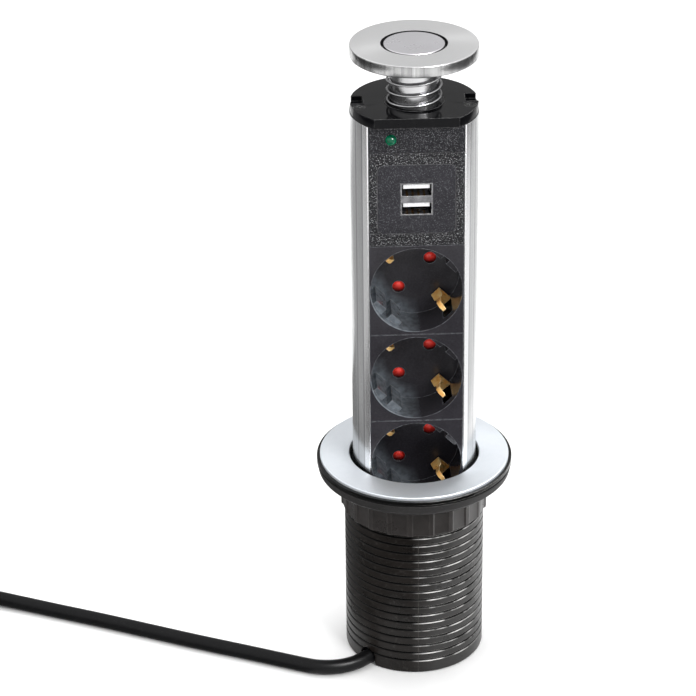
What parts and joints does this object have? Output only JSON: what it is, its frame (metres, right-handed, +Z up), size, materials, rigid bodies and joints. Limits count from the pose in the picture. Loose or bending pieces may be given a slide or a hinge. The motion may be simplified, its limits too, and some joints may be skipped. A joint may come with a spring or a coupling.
{
  "type": "recessed power strip",
  "caption": "Pull-up desk socket column with earthed mains sockets, charging ports, indicator lamp and sprung grip lid, sliding in a threaded clamp barrel with a mains cord and plug.",
  "frame": {"origin": "centre of the barrel's bottom rim, on the surface that the part stands on", "axes": "+Z up along the tower, front with the sockets towards -Y"},
  "size_m": [0.341, 0.1367, 0.29],
  "materials": {
    "satin_aluminium": "satin anodised",
    "brushed_steel": "brushed",
    "polished_steel": "polished",
    "hardware_steel": "plain",
    "gloss_black": "gloss",
    "barrel_black": "moulded, matte",
    "inner_black": "matte",
    "foam": "closed-cell foam",
    "anthracite": "coarse grain",
    "socket_black": "smooth",
    "shutter_red": "smooth",
    "brass": "plain",
    "led_green": "translucent",
    "board_green": "circuit board",
    "component": "electrical parts",
    "white_nylon": "plain",
    "wire": "insulated",
    "cord_black": "matte sheath",
    "plug_black": "moulded"
  },
  "bodies": {
    "barrel": {"barrel": "barrel_black", "trim_ring": "satin_aluminium", "flange_gasket": "foam", "guide_ring": "inner_black", "cord_run": "cord_black", "cord_coil": "cord_black", "cord_tail": "cord_black", "coil_tie": "cord_black", "plug_body": "plug_black", "plug_pins": "hardware_steel", "plug_earth_strips": "brass"},
    "clamp_washer": {"clamp_washer": "barrel_black"},
    "clamp_nut": {"clamp_nut": "barrel_black"},
    "tower": {"tower_profile": "satin_aluminium", "foot_collar": "inner_black", "end_cap": "gloss_black", "end_cap_screws": "hardware_steel", "bottom_cap": "inner_black", "bottom_screws": "hardware_steel", "cable_gland": "cord_black", "foot_plate": "anthracite", "led_plate": "anthracite", "led_lens": "led_green", "led_board": "board_green", "usb_plate": "anthracite", "usb_panel": "anthracite", "usb_shell": "hardware_steel", "usb_tongues": "white_nylon", "usb_contacts": "brass", "charger_board": "board_green", "charger_parts": "component", "socket_1": "socket_black", "socket_2": "socket_black", "socket_3": "socket_black", "earth_strap_1": "brass", "earth_strap_2": "brass", "earth_strap_3": "brass", "contact_carrier_1": "white_nylon", "contact_carrier_2": "white_nylon", "contact_carrier_3": "white_nylon", "live_rail": "brass", "neutral_rail": "brass", "inner_wires": "wire", "neck_bush": "white_nylon", "catch_pin": "hardware_steel", "catch_leaf": "hardware_steel", "lid_spring": "polished_steel", "cord_drop": "cord_black"},
    "lid": {"lid_disc": "brushed_steel", "neck_tube": "polished_steel", "neck_clip": "polished_steel", "button_spring": "hardware_steel"},
    "button": {"button_cap": "brushed_steel", "button_stem": "white_nylon"},
    "shutter_1": {"shutter_1": "shutter_red"},
    "shutter_2": {"shutter_2": "shutter_red"},
    "shutter_3": {"shutter_3": "shutter_red"},
    "catch_lever": {"catch_lever": "hardware_steel"}
  },
  "joints": [
    {"name": "tower_slide", "type": "slide", "parent": "barrel", "child": "tower", "axis": [0, 0, 1], "range_m": [-0.179, 0.016], "deforming": ["cord_drop"]},
    {"name": "lid_slide", "type": "slide", "parent": "tower", "child": "lid", "axis": [0, 0, 1], "range_m": [-0.012, 0], "stiffness_N_per_m": 400, "springref_m": 0.006, "deforming": ["lid_spring"]},
    {"name": "button_press", "type": "slide", "parent": "lid", "child": "button", "axis": [0, 0, 1], "range_m": [-0.0016, 0], "stiffness_N_per_m": 600, "springref_m": 0.002, "deforming": ["button_spring"]},
    {"name": "washer_slide", "type": "slide", "parent": "barrel", "child": "clamp_washer", "axis": [0, 0, 1], "range_m": [-0.0601, 0]},
    {"name": "nut_spin", "type": "hinge", "parent": "clamp_washer", "child": "clamp_nut", "pos_m": [0, 0, 0.08], "axis": [0, 0, 1], "range_deg": [-5400, 0]},
    {"name": "catch_pivot", "type": "hinge", "parent": "tower", "child": "catch_lever", "pos_m": [0, 0.0155, 0.2565], "axis": [-1, 0, 0], "range_deg": [0, 8]},
    {"name": "shutter_1_turn", "type": "hinge", "parent": "tower", "child": "shutter_1", "pos_m": [0, 0.0017, 0.18525], "axis": [0, 1, 0], "range_deg": [0, 35], "stiffness_Nm_per_rad": 0.002, "springref_deg": -17.19},
    {"name": "shutter_2_turn", "type": "hinge", "parent": "tower", "child": "shutter_2", "pos_m": [0, 0.0017, 0.14335], "axis": [0, 1, 0], "range_deg": [0, 35], "stiffness_Nm_per_rad": 0.002, "springref_deg": -17.19},
    {"name": "shutter_3_turn", "type": "hinge", "parent": "tower", "child": "shutter_3", "pos_m": [0, 0.0017, 0.10145], "axis": [0, 1, 0], "range_deg": [0, 35], "stiffness_Nm_per_rad": 0.002, "springref_deg": -17.19}
  ],
  "couplings": [
    {"joint": "washer_slide", "follows": "nut_spin", "m_per_rad": 0.00063662}
  ]
}
